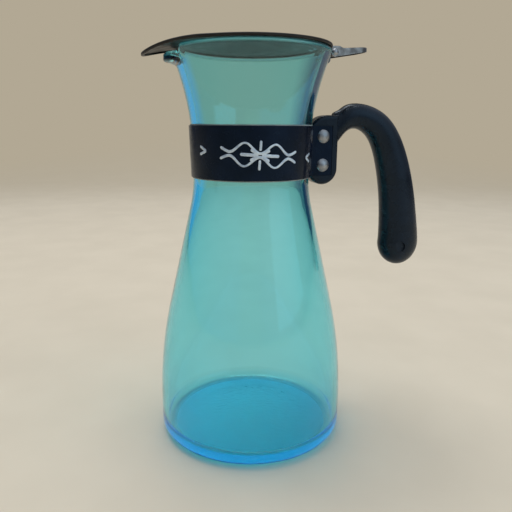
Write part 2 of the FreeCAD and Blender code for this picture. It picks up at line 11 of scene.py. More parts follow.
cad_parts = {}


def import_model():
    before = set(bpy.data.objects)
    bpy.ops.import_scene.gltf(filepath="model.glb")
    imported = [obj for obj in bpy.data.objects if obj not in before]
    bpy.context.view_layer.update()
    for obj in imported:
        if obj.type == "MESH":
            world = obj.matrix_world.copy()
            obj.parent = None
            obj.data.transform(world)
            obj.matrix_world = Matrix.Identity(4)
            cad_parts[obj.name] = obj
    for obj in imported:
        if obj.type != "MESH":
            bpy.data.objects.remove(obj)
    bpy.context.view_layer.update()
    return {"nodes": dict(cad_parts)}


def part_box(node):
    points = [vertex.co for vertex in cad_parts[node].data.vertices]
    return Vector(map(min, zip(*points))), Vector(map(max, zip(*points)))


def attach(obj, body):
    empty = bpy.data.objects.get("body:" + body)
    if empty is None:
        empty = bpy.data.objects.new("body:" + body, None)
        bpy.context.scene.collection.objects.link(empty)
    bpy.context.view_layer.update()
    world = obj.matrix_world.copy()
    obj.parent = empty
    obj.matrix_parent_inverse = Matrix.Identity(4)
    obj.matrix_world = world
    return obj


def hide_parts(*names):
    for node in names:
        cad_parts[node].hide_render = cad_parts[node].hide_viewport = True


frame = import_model()

MM = 0.001

# Camera of the photograph: where it stands round the pitcher, and how it is held
IMAGE_SIDE = 512
FOCAL_PIXELS = 540
SENSOR = 36.0
NEAR_CLIP = 0.01
CAMERA_SWING = math.radians(14)
CAMERA_DISTANCE = 271.7 * MM
CAMERA_HEIGHT = 158.0 * MM
CAMERA_YAW = 0.0099
CAMERA_PITCH = 0.2365
CAMERA_ROLL = 0.0054

# Vessel, in millimetres: outside sizes of the waisted wall, its floor and its foot
BELLY_RADIUS = 47.7
BELLY_Z = 18.0
WAIST_RADIUS = 28.6
WAIST_LOW_Z = 134.0
WAIST_HIGH_Z = 144.0
WAIST_ROUND = 66.0
TAPER_LENGTH = 51.6
RIM_RADIUS = 38.0
RIM_Z = 193.5
WALL = 2.8
FLOOR = 5.0
BASE_CORNER = 6.5
FLOOR_CORNER = 5.0
FOOT_WIDTH = 7.0
FOOT_RECESS = 0.8

# Beak, in millimetres, with the share of its half turn over which it is fully out
BEAK_OUT = 3.5
BEAK_NOSE = 9.0
BEAK_WALL = 2.4
BEAK_DEPTH = 8.3
BEAK_CORNER = 2.6
BEAK_SOFT = 1.6
BEAK_LIP_DROP = 2.9
BEAK_HALF_TURN = math.radians(21)
BEAK_FULL = 0.6

# Pebbles under the foot, in millimetres, with their blend, their crown and the share at which they fade
PEBBLE_SIZE = 1.5
PEBBLE_HEIGHT = 0.16
PEBBLE_BLEND = 0.35
PEBBLE_CROWN = 0.5
PEBBLE_FADE = 0.94

# Points round the vessel and along each stretch of its section
STEPS_AROUND = 320
DISH_STEPS = 60
FOOT_STEPS = 3
BASE_CORNER_STEPS = 10
SIDE_STEPS = 4
BELLY_STEPS = 18
TAPER_STEPS = 10
WAIST_STEPS = 14
NECK_STEPS = 3
FLARE_STEPS = 44
FLARE_EASE = 1.5
RIM_STEPS = 12
FLOOR_CORNER_STEPS = 14
FLOOR_STEPS = 8

# Points nearer than this, in metres, become one, and an edge that turns more, in radians, is sharp
WELD = 0.001 * MM
SHARP_EDGE = 0.7

# Clear wall: what light keeps of each colour, how fast it loses the rest, and its smoothness
WALL_IOR = 1.5
WALL_KEEPS = (0.0, 0.88, 0.985, 1)
WALL_TAKES = 215.0
WALL_ROUGHNESS = (0.015, 0.045)

# Frosted underside: heights in millimetres where it ends, and the share of the foot's radius
FROST_HEIGHTS = (1.4, 1.2)
FROST_EDGE = 0.97
FROST_ROUGHNESS = 0.65

# Lip with painted shade and a duller shine, in millimetres: under the rim, and on the beak by height and past
# the rim's radius
LIP_UNDER_RIM = (2.4, 1.0)
LIP_BEAK_HEIGHTS = (176, 181)
LIP_PAST_RIM = (0.4, 1.6)
# Painted shade: the colour that the rim and the beak are tinted to
LIP_PAINTED_SHADE = (0.5, 0.6, 0.6, 1)
LIP_ROUGHNESS = 0.3

# Lamp light that the wall lets by, and less of it near the foot, in millimetres
WALL_LETS_BY = (0.97, 0.97, 0.97, 1)
SKIRT_LETS_BY = (0.5, 0.5, 0.5, 1)
SKIRT_HEIGHTS = (16, 9)
SKIRT_RADII = (42.5, 45)

# Ornament on the neck band, in millimetres along the strap from the motif's middle
MOTIF_TURN = math.radians(-6.3)
MOTIF_TILT = math.radians(-3.3)
MOTIF_DROP = 0.7
STROKE_WIDTH = 1.3
STROKE_RISE = 0.09
STROKE_TIP = 0.02
STROKE_SIDES = 10
STROKE_STEPS = 24
STRAND_STEPS = 120
STRAND_WAVE = 14.0
STRAND_DIP = 0.8
STRAND_PEAK = 5.1
STRAND_PEAK_WIDTH = 0.95
STRAND_ARM = 4.4
STRAND_ARM_RISE = 1.8
STRAND_ARM_CURVE = 1.4
ARROW_TIP = 26.5
ARROW_LENGTH = 4.4
ARROW_HALF = 1.9
STRAP_EDGE_REACH = 0.1

# Rays of the star: lean in degrees, start, end and width, repeated on both sides and up and down
STAR_RAYS = ((0, 0.7, 9.0, 1.5), (30, 0.9, 5.0, 1.5), (90, 2.0, 6.5, 1.2))

# Studio paper, in metres. The floor lies a little under the foot, so that no two faces share a plane
FLOOR_SIDE = 9.0
FOOT_GAP = 0.0004
FADE_ENDS = (0.9, 1.7)
PAPER_WIDTH = 2.9
PAPER_START = 1.2
PAPER_BEND = 1.1
PAPER_TOP = 2.8
PAPER_STEPS = 48

# Fill light by how far up it comes from, and the glow that shiny pieces mirror
FILL_RISE = (0.0, 0.8)
FILL_LEVEL = (0.06, 0.075, 0.10, 1)
FILL_ABOVE = (0.55, 0.58, 0.62, 1)
GLOW_WAY = Vector((0.66, -0.62, 0.42)).normalized()
GLOW_SPREAD = (0.72, 1.0)
GLOW_FALL = 1.6
GLOW_COLOUR = (0.70, 0.88, 1.0, 1)

# What the clear wall shows beyond the paper: dark above, a cool side on the left, a dark one on the right
SEEN_ZONES = (
    ("Z", (0.28, 0.42), (0.08, 0.08, 0.09, 1)),
    ("X", (-0.22, -0.36), (0.20, 0.45, 0.66, 1)),
    ("X", (0.14, 0.28), (0.03, 0.05, 0.09, 1)),
)

# Lamps: place, target, size, power, colour, and whether shiny pieces mirror it
LAMPS = (
    ("window", (1.1, -1.0, 0.75), (0, 0, 0.1), (1.5, 1.4), 8.0, (0.72, 0.86, 1.0), False),
    ("ceiling", (-0.1, 0.35, 1.7), (0, 0, 0), (1.1, 1.1), 19.0, (1.0, 0.98, 0.95), True),
)

# Stretches of the noise's range over which a finish goes from one end to the other
NARROW = (0.35, 0.65)
UPPER = (0.35, 0.7)
WIDE = (0.3, 0.7)


def srgb(red, green, blue):
    """A colour written as on screen, 0 to 255, in the linear numbers that shaders take."""
    def linear(value):
        share = value / 255
        return share / 12.92 if share <= 0.04045 else ((share + 0.055) / 1.055) ** 2.4

    return (linear(red), linear(green), linear(blue), 1.0)


WHITE = (1, 1, 1, 1)
SURROUNDINGS = srgb(178, 168, 148)


# Node trees

def node(tree, kind, inputs, **settings):
    """A node of one kind. Settings are its own choices; inputs are values or sockets by name or place."""
    made = tree.nodes.new(kind)
    for name, value in settings.items():
        setattr(made, name, value)
    for key, value in inputs.items():
        if isinstance(value, bpy.types.NodeSocket):
            tree.links.new(value, made.inputs[key])
        else:
            made.inputs[key].default_value = value
    return made


def maths(tree, operation, *values):
    """One operation on one, two or three numbers."""
    return node(tree, "ShaderNodeMath", dict(enumerate(values)), operation=operation).outputs[0]


def product(tree, first, *others):
    """All the numbers multiplied."""
    for other in others:
        first = maths(tree, "MULTIPLY", first, other)
    return first


def ranged(tree, value, ends, results=(0.0, 1.0), **settings):
    """A number that goes from the first result to the second while the value goes between two ends."""
    made = node(tree, "ShaderNodeMapRange", {
        "Value": value, "From Min": ends[0], "From Max": ends[1],
        "To Min": results[0], "To Max": results[1]}, **settings)
    return made.outputs["Result"]


def blended(tree, share, first, second):
    """A colour between two."""
    mix = node(tree, "ShaderNodeMix", {0: share, 6: first, 7: second}, data_type="RGBA")
    return mix.outputs[2]


def parts_of(tree, vector):
    """The X, Y and Z of a vector."""
    return node(tree, "ShaderNodeSeparateXYZ", {0: vector}).outputs


def joined(tree, x=0.0, y=0.0, z=0.0):
    """A vector from its X, Y and Z."""
    return node(tree, "ShaderNodeCombineXYZ", {"X": x, "Y": y, "Z": z}).outputs[0]


def length(tree, vector):
    """How long a vector is."""
    return node(tree, "ShaderNodeVectorMath", {0: vector}, operation="LENGTH").outputs["Value"]


def radius_of(tree, place):
    """How far a place, given by its parts, lies from the upright axis."""
    return length(tree, joined(tree, place["X"], place["Y"]))


# Finishes

def finish(name, **plain):
    """A new material and its shader, with the values that are the same all over it."""
    material = bpy.data.materials.new(name)
    material.use_nodes = True
    shader = material.node_tree.nodes["Principled BSDF"]
    for socket, value in plain.items():
        shader.inputs[socket.replace("_", " ")].default_value = value
    return material, material.node_tree, shader


def where(tree, stretch=(1, 1, 1)):
    """The piece's own coordinates, stretched along its axes."""
    place = node(tree, "ShaderNodeTexCoord", {}).outputs["Object"]
    return node(tree, "ShaderNodeMapping", {"Vector": place, "Scale": stretch}).outputs["Vector"]


def grain(tree, size, detail=3.0, stretch=(1, 1, 1)):
    """Cloudy noise with patches of about one size, in millimetres."""
    made = node(tree, "ShaderNodeTexNoise", {
        "Vector": where(tree, stretch), "Scale": 1 / (size * MM), "Detail": detail})
    return made.outputs[0]


def mottled(tree, shader, patches, spread, first, second):
    """Colour a finish in soft patches between two colours."""
    tint = blended(tree, ranged(tree, patches, spread), first, second)
    tree.links.new(tint, shader.inputs["Base Color"])


def shining(tree, shader, patches, smooth, rough):
    """Let the shine of a finish drift between smooth and rough."""
    tree.links.new(ranged(tree, patches, WIDE, (smooth, rough)), shader.inputs["Roughness"])


def textured(tree, shader, height, depth):
    """Give a finish a fine relief whose full height is a depth in millimetres."""
    made = node(tree, "ShaderNodeBump", {"Height": height, "Distance": depth * MM, "Strength": 1.0})
    tree.links.new(made.outputs["Normal"], shader.inputs["Normal"])


def between(tree, value, ends):
    """Nought to one while a length in metres goes between two ends in millimetres."""
    return ranged(tree, value, [end * MM for end in ends])


def frosted_foot(tree, place, radius):
    """One on the underside inside the foot's outer edge, nought elsewhere."""
    foot = BELLY_RADIUS - BASE_CORNER
    low = between(tree, place["Z"], FROST_HEIGHTS)
    return product(tree, low, between(tree, radius, (foot, FROST_EDGE * foot)))


def shaded_lip(tree, place, radius):
    """One on the rounded rim and on the beak, nought elsewhere."""
    rim = between(tree, place["Z"], [RIM_Z - down for down in LIP_UNDER_RIM])
    beak = product(tree, between(tree, place["Z"], LIP_BEAK_HEIGHTS),
                   between(tree, radius, [RIM_RADIUS + past for past in LIP_PAST_RIM]))
    return maths(tree, "MAXIMUM", rim, beak)


def lit_through(tree, place, radius):
    """What lamps meet in place of the clear wall, so that their light reaches the floor."""
    skirt = product(tree, between(tree, place["Z"], SKIRT_HEIGHTS), between(tree, radius, SKIRT_RADII))
    let_by = blended(tree, skirt, WALL_LETS_BY, SKIRT_LETS_BY)
    return node(tree, "ShaderNodeBsdfTransparent", {"Color": let_by}).outputs[0]


def turquoise_vessel():
    """Clear moulded wall that takes red out of long paths, frosted under its foot, and at its lip tinted
    darker as painted shade and duller in shine.
    """
    material, tree, shader = finish("turquoise_vessel", Transmission_Weight=1.0, IOR=WALL_IOR)
    textured(tree, shader, grain(tree, size=22, detail=1.0), depth=0.06)
    place = parts_of(tree, where(tree))
    radius = radius_of(tree, place)
    lip = shaded_lip(tree, place, radius)
    # Painted shade: the rim and the beak are tinted darker
    tree.links.new(blended(tree, lip, WHITE, LIP_PAINTED_SHADE), shader.inputs["Base Color"])
    clear = ranged(tree, grain(tree, size=12), UPPER, WALL_ROUGHNESS)
    frost = product(tree, frosted_foot(tree, place, radius), FROST_ROUGHNESS)
    dulled = maths(tree, "ADD", frost, product(tree, lip, LIP_ROUGHNESS))
    tree.links.new(maths(tree, "ADD", clear, dulled), shader.inputs["Roughness"])
    shadow = node(tree, "ShaderNodeLightPath", {}).outputs["Is Shadow Ray"]
    surface = node(tree, "ShaderNodeMixShader", {
        0: shadow, 1: shader.outputs[0], 2: lit_through(tree, place, radius)})
    inside = node(tree, "ShaderNodeVolumeAbsorption", {"Color": WALL_KEEPS, "Density": WALL_TAKES})
    ends = tree.nodes["Material Output"].inputs
    tree.links.new(surface.outputs[0], ends["Surface"])
    tree.links.new(inside.outputs[0], ends["Volume"])
    return material


def blue_black_enamel():
    """Gloss enamel on sheet metal, with a faint orange peel and cloudy wear in its shine."""
    material, tree, shader = finish(
        "blue_black_enamel", Specular_IOR_Level=0.24, Specular_Tint=(0.45, 0.72, 1.0, 1))
    mottled(tree, shader, grain(tree, size=9), NARROW, srgb(9, 16, 30), srgb(14, 23, 41))
    shining(tree, shader, grain(tree, size=4), smooth=0.16, rough=0.30)
    textured(tree, shader, grain(tree, size=1.6, detail=1.0), depth=0.02)
    return material


def dark_lid():
    """Dark brown-black enamel that has gone dull, a little lighter where it is rubbed."""
    material, tree, shader = finish("dark_lid", Specular_IOR_Level=0.35)
    mottled(tree, shader, grain(tree, size=8, detail=4.0), UPPER, srgb(20, 18, 17), srgb(38, 31, 25))
    shining(tree, shader, grain(tree, size=5), smooth=0.40, rough=0.55)
    textured(tree, shader, grain(tree, size=1.2, detail=2.0), depth=0.015)
    return material


def black_moulding():
    """Gloss black moulding with soft hand wear and a very fine surface."""
    material, tree, shader = finish(
        "black_moulding", Specular_IOR_Level=0.34, Specular_Tint=(0.6, 0.8, 1.0, 1))
    mottled(tree, shader, grain(tree, size=14), NARROW, srgb(14, 20, 29), srgb(20, 28, 40))
    shining(tree, shader, grain(tree, size=7, detail=5.0), smooth=0.20, rough=0.36)
    textured(tree, shader, grain(tree, size=0.8, detail=2.0), depth=0.012)
    return material


def bright_metal(name, light, dark, smooth, rough, stretch):
    """Polished sheet or pin metal with fine drawn lines and cloudy tarnish."""
    material, tree, shader = finish(name, Metallic=1.0)
    mottled(tree, shader, grain(tree, size=3, detail=4.0), NARROW, light, dark)
    lines = grain(tree, size=0.7, stretch=stretch)
    shining(tree, shader, lines, smooth, rough)
    textured(tree, shader, lines, depth=0.008)
    return material


def polished_steel():
    """Sheet steel of the lever and the clip, drawn along the pin."""
    return bright_metal("polished_steel", srgb(165, 162, 160), srgb(118, 114, 112),
                        smooth=0.10, rough=0.22, stretch=(1, 0.08, 1))


def rivet_metal():
    """Satin metal of the rivets and the pin."""
    return bright_metal("rivet_metal", srgb(176, 180, 185), srgb(140, 145, 152),
                        smooth=0.28, rough=0.42, stretch=(1, 1, 1))


def pale_vinyl():
    """Soft matt strip, greyed in patches."""
    material, tree, shader = finish("pale_vinyl", Roughness=0.7)
    mottled(tree, shader, grain(tree, size=5), NARROW, srgb(168, 176, 172), srgb(140, 150, 150))
    textured(tree, shader, grain(tree, size=0.5, detail=2.0), depth=0.02)
    return material


def silver_inlay():
    """Silver strokes of the ornament, slightly rubbed."""
    material, tree, shader = finish("silver_inlay", Metallic=0.35)
    mottled(tree, shader, grain(tree, size=2.5, detail=4.0), UPPER, srgb(226, 240, 250), srgb(176, 194, 216))
    shining(tree, shader, grain(tree, size=1.2), smooth=0.28, rough=0.45)
    return material


def stage_paper():
    """Plain pale paper, which goes over into the plain surroundings far from the pitcher."""
    material, tree, shader = finish("stage_paper", Roughness=0.9, Specular_IOR_Level=0.1)
    mottled(tree, shader, grain(tree, size=60), NARROW, srgb(208, 198, 180), srgb(204, 194, 176))
    path = node(tree, "ShaderNodeLightPath", {}).outputs
    seen = maths(tree, "MAXIMUM", path["Is Camera Ray"], path["Is Transmission Ray"])
    far = product(tree, ranged(tree, length(tree, where(tree)), FADE_ENDS), seen)
    plain = node(tree, "ShaderNodeEmission", {"Color": SURROUNDINGS})
    surface = node(tree, "ShaderNodeMixShader", {0: far, 1: shader.outputs[0], 2: plain.outputs[0]})
    tree.links.new(surface.outputs[0], tree.nodes["Material Output"].inputs["Surface"])
    return material


# Pieces made by node trees

def new_tree(name, floats):
    """A geometry node tree with one mesh in, one out, and named numbers. Returns it with its ends."""
    tree = bpy.data.node_groups.new(name, "GeometryNodeTree")
    tree.interface.new_socket("Geometry", in_out="INPUT", socket_type="NodeSocketGeometry")
    for socket in floats:
        tree.interface.new_socket(socket, in_out="INPUT", socket_type="NodeSocketFloat")
    tree.interface.new_socket("Geometry", in_out="OUTPUT", socket_type="NodeSocketGeometry")
    given = node(tree, "NodeGroupInput", {}).outputs
    return tree, given, node(tree, "NodeGroupOutput", {})


def position(tree):
    """Where each point lies."""
    return node(tree, "GeometryNodeInputPosition", {}).outputs[0]


def painted(tree, geometry, material):
    """The tree's end: plain geometry with its finish."""
    whole = node(tree, "GeometryNodeRealizeInstances", {"Geometry": geometry})
    made = node(tree, "GeometryNodeSetMaterial", {"Geometry": whole.outputs[0], "Material": material})
    return made.outputs[0]


def made_mesh(source, tree, values):
    """A plain mesh of what a node tree makes of an object, with the tree's named inputs set."""
    bpy.context.scene.collection.objects.link(source)
    modifier = source.modifiers.new("nodes", "NODES")
    modifier.node_group = tree
    for item in tree.interface.items_tree:
        if item.name in values:
            modifier[item.identifier] = values[item.name]
    evaluated = source.evaluated_get(bpy.context.evaluated_depsgraph_get())
    mesh = bpy.data.meshes.new_from_object(evaluated)
    name = source.name
    bpy.data.objects.remove(source)
    piece = bpy.data.objects.new(name, mesh)
    bpy.context.scene.collection.objects.link(piece)
    return piece


# Vessel

def polar(centre, radius, turn):
    """The point at one turn round a centre."""
    return centre[0] + radius * math.cos(turn), centre[1] + radius * math.sin(turn)


def arc(centre, radius, start, end, steps, ease=1.0):
    """Points round a centre. An ease above one puts them closer together towards the end."""
    shares = [1 - (1 - step / steps) ** ease for step in range(steps + 1)]
    return [polar(centre, radius, start + (end - start) * share) for share in shares]


def run(start, end, steps):
    """Points along a straight line."""
    return [tuple(a + (b - a) * step / steps for a, b in zip(start, end)) for step in range(steps + 1)]


def wall_curves():
    """The tangent arcs of the wall: belly, waist and flare, each a centre and a radius, and two turns."""
    inward = BELLY_RADIUS - WAIST_RADIUS
    rise = WAIST_LOW_Z - BELLY_Z
    arcs = (inward ** 2 + rise ** 2 - TAPER_LENGTH ** 2) / (2 * inward)
    belly_round = arcs - WAIST_ROUND
    taper = math.atan2(rise, arcs - inward) - math.atan2(TAPER_LENGTH, arcs)
    across = RIM_RADIUS - WAIST_RADIUS
    up = RIM_Z - WALL / 2 - WAIST_HIGH_Z
    middle = (across ** 2 + up ** 2) / (2 * across)
    flare_round = middle - WALL / 2
    belly = ((BELLY_RADIUS - belly_round, BELLY_Z), belly_round)
    waist = ((WAIST_RADIUS + WAIST_ROUND, WAIST_LOW_Z), WAIST_ROUND)
    flare = ((WAIST_RADIUS + flare_round, WAIST_HIGH_Z), flare_round)
    return belly, waist, flare, taper, math.asin(up / middle)


def wall_line(inset, foot_z):
    """Points up the wall at a depth under its outside, closest together near the rim."""
    (belly, belly_round), (waist, waist_round), (flare, flare_round), taper, lean = wall_curves()
    side = BELLY_RADIUS - inset
    neck = WAIST_RADIUS - inset
    leave = polar(belly, belly_round - inset, taper)
    meet = polar(waist, waist_round + inset, math.pi + taper)
    return (run((side, foot_z), (side, BELLY_Z), SIDE_STEPS)
            + arc(belly, belly_round - inset, 0, taper, BELLY_STEPS)[1:]
            + run(leave, meet, TAPER_STEPS)[1:]
            + arc(waist, waist_round + inset, math.pi + taper, math.pi, WAIST_STEPS)[1:]
            + run((neck, WAIST_LOW_Z), (neck, WAIST_HIGH_Z), NECK_STEPS)[1:]
            + arc(flare, flare_round + inset, math.pi, math.pi - lean, FLARE_STEPS, FLARE_EASE)[1:])


def outside_line():
    """Radius and height from the middle of the dished underside, over the foot, up to the rim."""
    foot_out = BELLY_RADIUS - BASE_CORNER
    foot_in = foot_out - FOOT_WIDTH
    shares = [step / DISH_STEPS for step in range(DISH_STEPS)]
    corner = arc((foot_out, BASE_CORNER), BASE_CORNER, -math.pi / 2, 0, BASE_CORNER_STEPS)
    return ([(share * foot_in, FOOT_RECESS * (1 - share ** 2)) for share in shares]
            + run((foot_in, 0), (foot_out, 0), FOOT_STEPS)
            + corner[1:]
            + wall_line(0, BASE_CORNER)[1:])


def inside_line():
    """Radius and height from the rim, down the inside of the wall, to the middle of the floor."""
    edge = BELLY_RADIUS - WALL - FLOOR_CORNER
    top = FLOOR + FLOOR_CORNER
    corner = arc((edge, top), FLOOR_CORNER, 0, -math.pi / 2, FLOOR_CORNER_STEPS)
    return (wall_line(WALL, top)[::-1]
            + corner[1:]
            + run(corner[-1], (0, FLOOR), FLOOR_STEPS)[1:])


def vessel_line():
    """The vessel's section from the middle of its foot, round the rim, to the middle of its floor.

    Each point is a radius, a share of the way through the wall, and a height.
    """
    lean = wall_curves()[4]
    rim = (RIM_RADIUS - WALL / 2, RIM_Z - WALL / 2)
    over = arc(rim, WALL / 2, -lean, math.pi - lean, RIM_STEPS)[1:-1]
    points = [(radius, 0.0, height) for radius, height in outside_line()]
    points += [(spot[0], (i + 1) / (len(over) + 1), spot[1]) for i, spot in enumerate(over)]
    return points + [(radius, 1.0, height) for radius, height in inside_line()]


def section_curve(points):
    """A section as a curve, in metres, with the share through the wall as its across coordinate."""
    curve = bpy.data.curves.new("section", "CURVE")
    curve.dimensions = "3D"
    spline = curve.splines.new("POLY")
    spline.points.add(len(points) - 1)
    for spot, (radius, through, height) in zip(spline.points, points):
        spot.co = (radius * MM, through, height * MM, 1)
    return bpy.data.objects.new("waisted_vessel", curve)


def pushed_beak(tree, given, away, radius, through, height):
    """Radius and height of a wall point after the beak is pulled out of the rim at one place."""
    into_wall = product(tree, through, given["Beak Wall"])
    nose = maths(tree, "SUBTRACT", given["Beak Nose"], into_wall)
    low = maths(tree, "ADD", given["Beak Low"], into_wall)
    aside = product(tree, given["Beak Middle"], maths(tree, "SINE", away))
    ahead = product(tree, given["Beak Middle"], maths(tree, "COSINE", away))
    square = maths(tree, "SUBTRACT", product(tree, nose, nose), product(tree, aside, aside))
    reach = maths(tree, "ADD", ahead, maths(tree, "SQRT", maths(tree, "MAXIMUM", square, 0.0)))
    wide = maths(tree, "SMOOTH_MAX", radius, reach, given["Beak Soft"])
    turns = (given["Beak Turn"], product(tree, given["Beak Turn"], BEAK_FULL))
    near = ranged(tree, maths(tree, "ABSOLUTE", away), turns, interpolation_type="SMOOTHSTEP")
    corner = (low, maths(tree, "ADD", low, given["Beak Corner"]))
    risen = ranged(tree, height, corner, interpolation_type="SMOOTHSTEP")
    grown = product(tree, maths(tree, "SUBTRACT", wide, radius), product(tree, near, risen))
    lip = ranged(tree, height, (low, given["Rim Height"]), (0.0, given["Lip Drop"]))
    dropped = product(tree, lip, near)
    return maths(tree, "ADD", radius, grown), maths(tree, "SUBTRACT", height, dropped)


def turned_section(tree, given, rows):
    """A grid turned round the upright axis, each row at one point of the section, with its beak."""
    grid = node(tree, "GeometryNodeMeshGrid", {
        "Size X": 1.0, "Size Y": 1.0, "Vertices X": STEPS_AROUND + 1, "Vertices Y": rows})
    spot = parts_of(tree, position(tree))
    row = maths(tree, "ROUND", product(tree, maths(tree, "ADD", spot["Y"], 0.5), rows - 1.0))
    line = node(tree, "GeometryNodeSampleIndex", {
        "Geometry": given["Geometry"], "Value": position(tree), "Index": row},
        data_type="FLOAT_VECTOR", domain="POINT")
    point = parts_of(tree, line.outputs[0])
    away = product(tree, spot["X"], 2 * math.pi)
    radius, height = pushed_beak(tree, given, away, point["X"], point["Y"], point["Z"])
    back = product(tree, radius, -1.0)
    place = joined(tree, product(tree, back, maths(tree, "COSINE", away)),
                   product(tree, back, maths(tree, "SINE", away)), height)
    turned = node(tree, "GeometryNodeSetPosition", {"Geometry": grid.outputs["Mesh"], "Position": place})
    shut = node(tree, "GeometryNodeMergeByDistance", {"Geometry": turned.outputs[0], "Distance": WELD})
    return shut.outputs[0]


def pebbled_foot(tree, given, geometry):
    """Low rounded pebbles over the underside, fading towards the foot ring."""
    spot = position(tree)
    place = parts_of(tree, spot)
    cells = node(tree, "ShaderNodeTexVoronoi", {
        "Vector": spot, "Scale": maths(tree, "DIVIDE", 1.0, given["Pebble Size"]),
        "Smoothness": PEBBLE_BLEND}, feature="SMOOTH_F1")
    crown = maths(tree, "SUBTRACT", PEBBLE_CROWN, cells.outputs["Distance"])
    under = maths(tree, "LESS_THAN", place["Z"], given["Foot Height"])
    edges = (given["Foot Edge"], product(tree, given["Foot Edge"], PEBBLE_FADE))
    fade = ranged(tree, radius_of(tree, place), edges)
    lift = product(tree, crown, given["Pebble Height"], under, fade)
    made = node(tree, "GeometryNodeSetPosition", {"Geometry": geometry, "Offset": joined(tree, z=lift)})
    return made.outputs[0]


def smooth_shaded(tree, geometry):
    """Smooth shading all over, but for edges that turn sharply."""
    turn = node(tree, "GeometryNodeInputMeshEdgeAngle", {}).outputs["Unsigned Angle"]
    sharp = node(tree, "FunctionNodeCompare", {0: turn, 1: SHARP_EDGE}, operation="GREATER_THAN")
    smooth = node(tree, "GeometryNodeSetShadeSmooth", {
        "Geometry": geometry, "Shade Smooth": True}, domain="FACE")
    edged = node(tree, "GeometryNodeSetShadeSmooth", {
        "Geometry": smooth.outputs[0], "Selection": sharp.outputs[0], "Shade Smooth": False}, domain="EDGE")
    return edged.outputs[0]


def turned_tree(material, rows, names):
    """A node tree that turns a section of so many points into the vessel."""
    tree, given, out = new_tree("turned_vessel", names)
    pebbled = pebbled_foot(tree, given, turned_section(tree, given, rows))
    tree.links.new(painted(tree, smooth_shaded(tree, pebbled), material), out.inputs[0])
    return tree


def waisted_vessel(material):
    """The clear vessel in place of its CAD node."""
    points = vessel_line()
    values = {
        "Beak Middle": (RIM_RADIUS + BEAK_OUT - BEAK_NOSE) * MM,
        "Beak Nose": BEAK_NOSE * MM,
        "Beak Wall": BEAK_WALL * MM,
        "Beak Low": (RIM_Z - BEAK_DEPTH) * MM,
        "Beak Corner": BEAK_CORNER * MM,
        "Beak Soft": BEAK_SOFT * MM,
        "Beak Turn": BEAK_HALF_TURN,
        "Rim Height": RIM_Z * MM,
        "Lip Drop": BEAK_LIP_DROP * MM,
        "Pebble Size": PEBBLE_SIZE * MM,
        "Pebble Height": PEBBLE_HEIGHT * MM,
        "Foot Height": 2 * FOOT_RECESS * MM,
        "Foot Edge": (BELLY_RADIUS - BASE_CORNER - FOOT_WIDTH) * MM,
    }
    piece = made_mesh(section_curve(points), turned_tree(material, len(points), values), values)
    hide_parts("carafe_body")
    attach(piece, "pitcher")


# Ornament

def rounded(step, length_along, half):
    """A stroke's width near its ends, as a share of its full width, so that they are round."""
    end = min(step, 1 - step) * length_along
    return math.sqrt(max(0.0, 1 - max(0.0, 1 - end / half) ** 2))


def stroke(place, length_along, width, steps=STROKE_STEPS):
    """Points of one stroke: where it runs, and its half width there."""
    points = []
    for index in range(steps + 1):
        step = (1 - math.cos(math.pi * index / steps)) / 2
        half = width(step) / 2
        share = max(STROKE_TIP, rounded(step, length_along, half))
        points.append((place(step), share * half))
    return points


def strand(side):
    """One wavy strand, above or below the motif's middle line, from arm tip to arm tip."""
    reach = STRAND_WAVE + STRAND_ARM

    def place(step):
        along = (2 * step - 1) * reach
        past = abs(along) - STRAND_WAVE
        if past > 0:
            rise = STRAND_ARM_RISE * (past / STRAND_ARM) ** STRAND_ARM_CURVE
        else:
            rise = (STRAND_PEAK - STRAND_DIP) * math.sin(math.pi * along / STRAND_WAVE) ** 2
        return along, side * (STRAND_DIP + rise)

    def width(step):
        along = min(abs(2 * step - 1) * reach, STRAND_WAVE)
        peak = math.sin(math.pi * along / STRAND_WAVE) ** 2
        return STROKE_WIDTH + (STRAND_PEAK_WIDTH - STROKE_WIDTH) * peak

    return stroke(place, 2 * reach, width, STRAND_STEPS)


def straight(start, end, width):
    """One straight stroke of an even width."""
    def place(step):
        return tuple(a + (b - a) * step for a, b in zip(start, end))

    return stroke(place, math.dist(start, end), lambda step: width)


def star():
    """The rays of the star, each on every side that its lean allows."""
    strokes = []
    for degrees, start, end, width in STAR_RAYS:
        lean = math.radians(degrees)
        across, up = round(math.cos(lean), 6), round(math.sin(lean), 6)
        ways = {(a * across, b * up) for a in (1, -1) for b in (1, -1)}
        for way in sorted(ways):
            ends = [tuple(reach * part for part in way) for reach in (start, end)]
            strokes.append(straight(*ends, width))
    return strokes


def arrowhead(side):
    """The two strokes of one arrowhead, its tip towards the star."""
    tip = (side * ARROW_TIP, 0)
    wings = [(side * (ARROW_TIP + ARROW_LENGTH), up * ARROW_HALF) for up in (1, -1)]
    return [straight(wing, tip, STROKE_WIDTH) for wing in wings]


def flat_motif():
    """The motif's strokes as flat curves, in metres."""
    curve = bpy.data.curves.new("motif", "CURVE")
    curve.dimensions = "3D"
    strokes = [strand(1), strand(-1)] + star() + arrowhead(1) + arrowhead(-1)
    for points in strokes:
        spline = curve.splines.new("POLY")
        spline.points.add(len(points) - 1)
        for spot, ((along, up), half) in zip(spline.points, points):
            spot.co = (along * MM, up * MM, 0, 1)
            spot.radius = half * MM
    return bpy.data.objects.new("band_ornament", curve)


